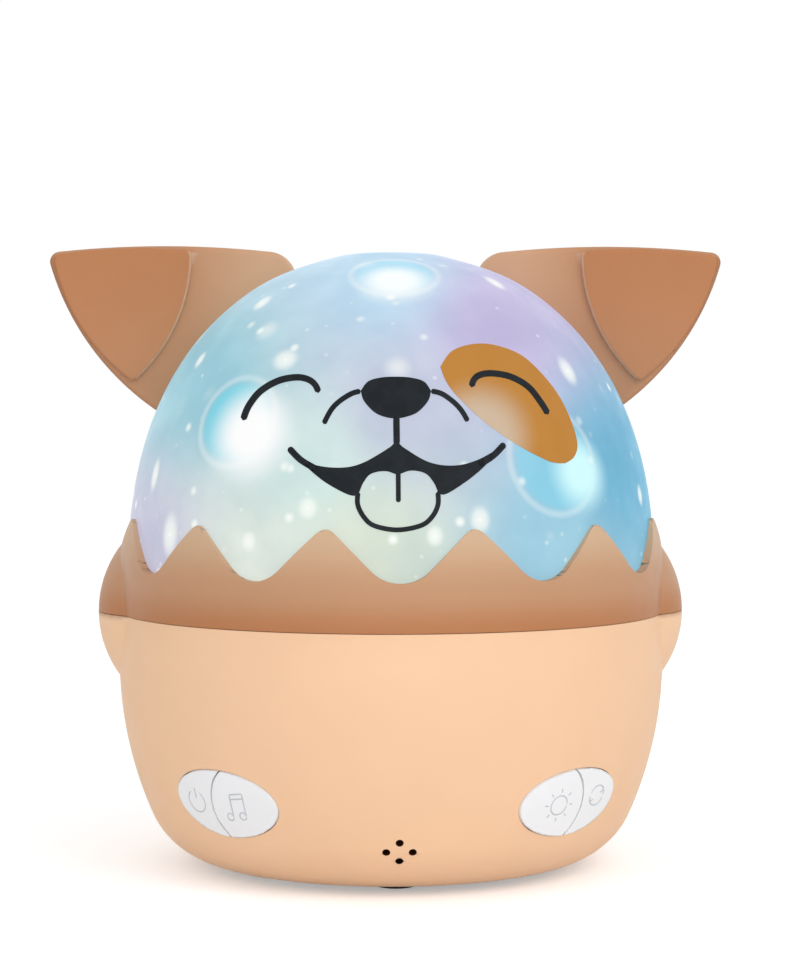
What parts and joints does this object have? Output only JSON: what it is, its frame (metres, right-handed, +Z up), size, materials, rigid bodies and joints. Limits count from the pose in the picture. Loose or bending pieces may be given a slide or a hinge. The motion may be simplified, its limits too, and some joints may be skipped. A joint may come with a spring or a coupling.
{
  "type": "night light",
  "caption": "Puppy-shaped star-projector night light: translucent dome with ears and scalloped collar lifting off a round base with push buttons, speaker and turning film.",
  "frame": {"origin": "on the floor under the axis of the dome, at the middle of the bounding box's bottom", "axes": "+Z up, -Y towards the face, +X to the right as seen from the front"},
  "size_m": [0.158, 0.122, 0.14],
  "materials": {
    "dome_frosted": "frosted translucent",
    "collar_brown": "satin",
    "ear_brown": "satin",
    "base_peach": "satin",
    "button_white": "satin",
    "inner_white": "satin",
    "gear_white": "satin",
    "film_print": "printed film",
    "foot_rubber": "matt",
    "screw_steel": "zinc plated",
    "can_steel": "plated",
    "magnet_iron": "plated",
    "cell_foil": "foil wrap",
    "board_green": "solder mask",
    "chip_black": "moulded",
    "led_clear": "clear lens",
    "cone_paper": "coated",
    "lead_red": "insulation"
  },
  "bodies": {
    "base": {"base_shell": "base_peach", "bottom_cover": "base_peach", "bottom_screws": "screw_steel", "rubber_feet": "foot_rubber", "battery_cell": "cell_foil", "battery_strap": "inner_white", "strap_screws": "screw_steel", "deck": "inner_white", "deck_screws": "screw_steel", "led_board": "board_green", "led_screws": "screw_steel", "leds": "led_clear", "gear_motor": "can_steel", "motor_screws": "screw_steel", "main_board": "board_green", "board_chips": "chip_black", "board_screws": "screw_steel", "left_switch_board": "board_green", "right_switch_board": "board_green", "tact_switches": "chip_black", "switch_screws": "screw_steel", "speaker_frame": "can_steel", "speaker_cone": "cone_paper", "speaker_magnet": "magnet_iron", "charge_board": "board_green", "charge_screws": "screw_steel", "usb_socket": "can_steel", "battery_leads": "lead_red", "speaker_leads": "lead_red", "light_leads": "lead_red", "motor_leads": "lead_red"},
    "cover": {"dome": "dome_frosted", "collar": "collar_brown", "left_ear": "ear_brown", "right_ear": "ear_brown", "ear_screws": "screw_steel"},
    "turntable": {"turntable": "gear_white", "film_dome": "film_print"},
    "pinion": {"drive_pinion": "gear_white", "motor_shaft": "screw_steel"},
    "power": {"power_button": "button_white", "power_plunger": "chip_black"},
    "music": {"music_button": "button_white", "music_plunger": "chip_black"},
    "light": {"light_button": "button_white", "light_plunger": "chip_black"},
    "rotate": {"rotate_button": "button_white", "rotate_plunger": "chip_black"}
  },
  "joints": [
    {"name": "cover_lift", "type": "slide", "parent": "base", "child": "cover", "axis": [0, 0, 1], "range_m": [0, 0.06]},
    {"name": "turntable_spin", "type": "hinge", "parent": "base", "child": "turntable", "pos_m": [0, 0, 0.06], "axis": [0, 0, 1], "continuous": true},
    {"name": "pinion_spin", "type": "hinge", "parent": "base", "child": "pinion", "pos_m": [-0.03, 0, 0.06], "axis": [0, 0, 1], "continuous": true},
    {"name": "power_press", "type": "slide", "parent": "base", "child": "power", "axis": [0.6147, 0.7234, 0.3144], "range_m": [0, 0.0008], "stiffness_N_per_m": 1500},
    {"name": "music_press", "type": "slide", "parent": "base", "child": "music", "axis": [0.6147, 0.7234, 0.3144], "range_m": [0, 0.0008], "stiffness_N_per_m": 1500},
    {"name": "light_press", "type": "slide", "parent": "base", "child": "light", "axis": [-0.6147, 0.7234, 0.3144], "range_m": [0, 0.0008], "stiffness_N_per_m": 1500},
    {"name": "rotate_press", "type": "slide", "parent": "base", "child": "rotate", "axis": [-0.6147, 0.7234, 0.3144], "range_m": [0, 0.0008], "stiffness_N_per_m": 1500}
  ],
  "couplings": [
    {"joint": "pinion_spin", "follows": "turntable_spin", "ratio": -4}
  ]
}
